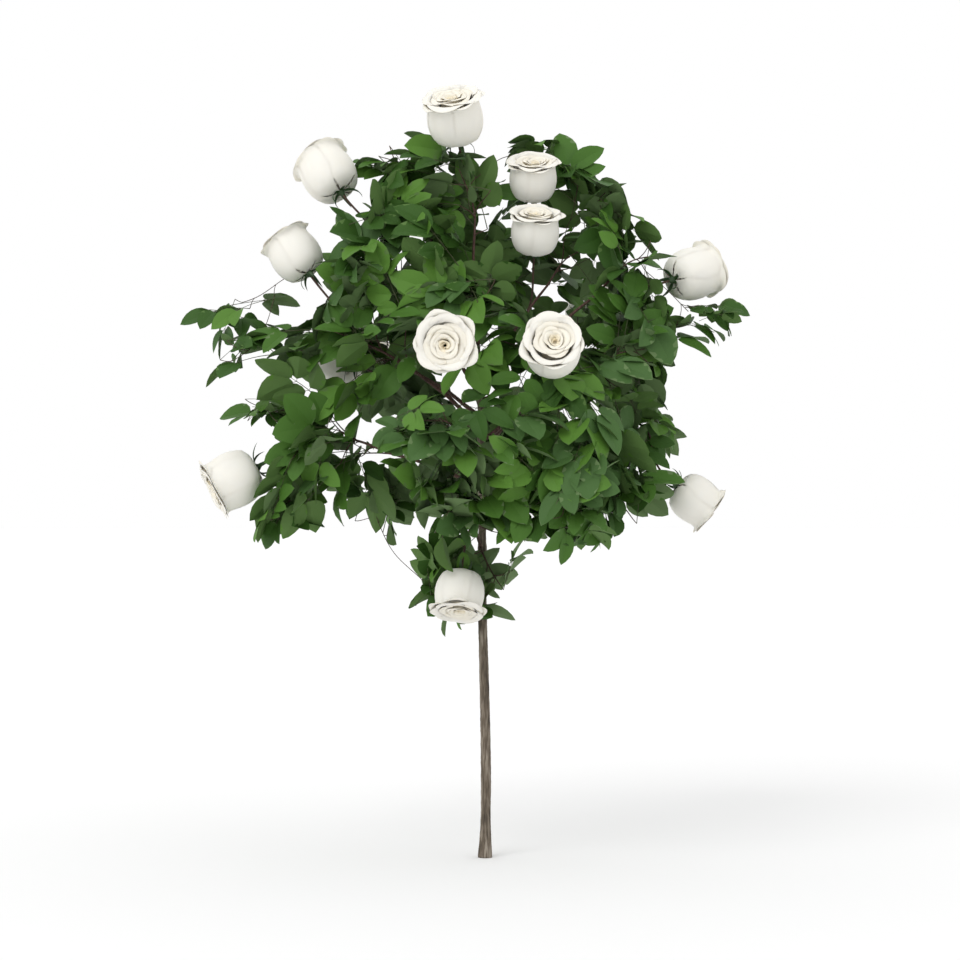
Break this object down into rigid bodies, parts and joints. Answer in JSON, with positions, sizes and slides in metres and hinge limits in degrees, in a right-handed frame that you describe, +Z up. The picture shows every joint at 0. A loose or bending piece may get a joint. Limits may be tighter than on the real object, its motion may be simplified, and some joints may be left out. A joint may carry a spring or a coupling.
{
  "type": "rose bush",
  "caption": "Rose grown as a small tree: a slim bare stem, arching boughs and an open, rounded head of leaves with large double white blooms on stalks.",
  "frame": {"origin": "centre of the flat cut under the stem, at ground level", "axes": "+Z up along the stem, +X to the plant's right seen from its front, -Y its front"},
  "size_m": [1.018, 0.8073, 1.3929],
  "materials": {
    "stem_bark": "matt grey-brown bark with fine lengthwise fissures",
    "bough_bark": "matt reddish-brown young bark",
    "foliage": "deep green leaves with a soft sheen",
    "petals": "velvety warm white petals, creamier towards the heart"
  },
  "bodies": {
    "root": {"bloom_back": "petals", "bloom_back_left": "petals", "bloom_back_right": "petals", "bloom_bottom": "petals", "bloom_front": "petals", "bloom_front_right": "petals", "bloom_hidden_left": "petals", "bloom_inner_right": "petals", "bloom_left": "petals", "bloom_lower_left": "petals", "bloom_lower_right": "petals", "bloom_right": "petals", "bloom_top": "petals", "bloom_upper_left": "petals", "bloom_upper_right": "petals", "bough_back_left": "bough_bark", "bough_back_low": "bough_bark", "bough_back_right": "bough_bark", "bough_centre_front": "bough_bark", "bough_centre_low": "bough_bark", "bough_left_low": "bough_bark", "bough_left_mid": "bough_bark", "bough_low_right": "bough_bark", "bough_right_mid": "bough_bark", "bough_right_shoulder": "bough_bark", "bough_top_centre": "bough_bark", "bough_top_left": "bough_bark", "bough_upper_left": "bough_bark", "bough_upper_right": "bough_bark", "leaves_back_left": "foliage", "leaves_back_low": "foliage", "leaves_back_right": "foliage", "leaves_back_top": "foliage", "leaves_bottom_left": "foliage", "leaves_bottom_right": "foliage", "leaves_centre_front": "foliage", "leaves_centre_low": "foliage", "leaves_left_droop": "foliage", "leaves_left_low": "foliage", "leaves_left_mid": "foliage", "leaves_left_shoulder": "foliage", "leaves_left_tip_high": "foliage", "leaves_left_tip_low": "foliage", "leaves_low_left_droop": "foliage", "leaves_low_right": "foliage", "leaves_low_right_front": "foliage", "leaves_right_front": "foliage", "leaves_right_front_high": "foliage", "leaves_right_low": "foliage", "leaves_right_mid": "foliage", "leaves_right_shoulder": "foliage", "leaves_right_tip": "foliage", "leaves_top_centre": "foliage", "leaves_top_left": "foliage", "leaves_top_right": "foliage", "leaves_top_right_outer": "foliage", "leaves_upper_centre": "foliage", "leaves_upper_left": "foliage", "leaves_upper_right": "foliage", "stem": "stem_bark"}
  },
  "joints": []
}
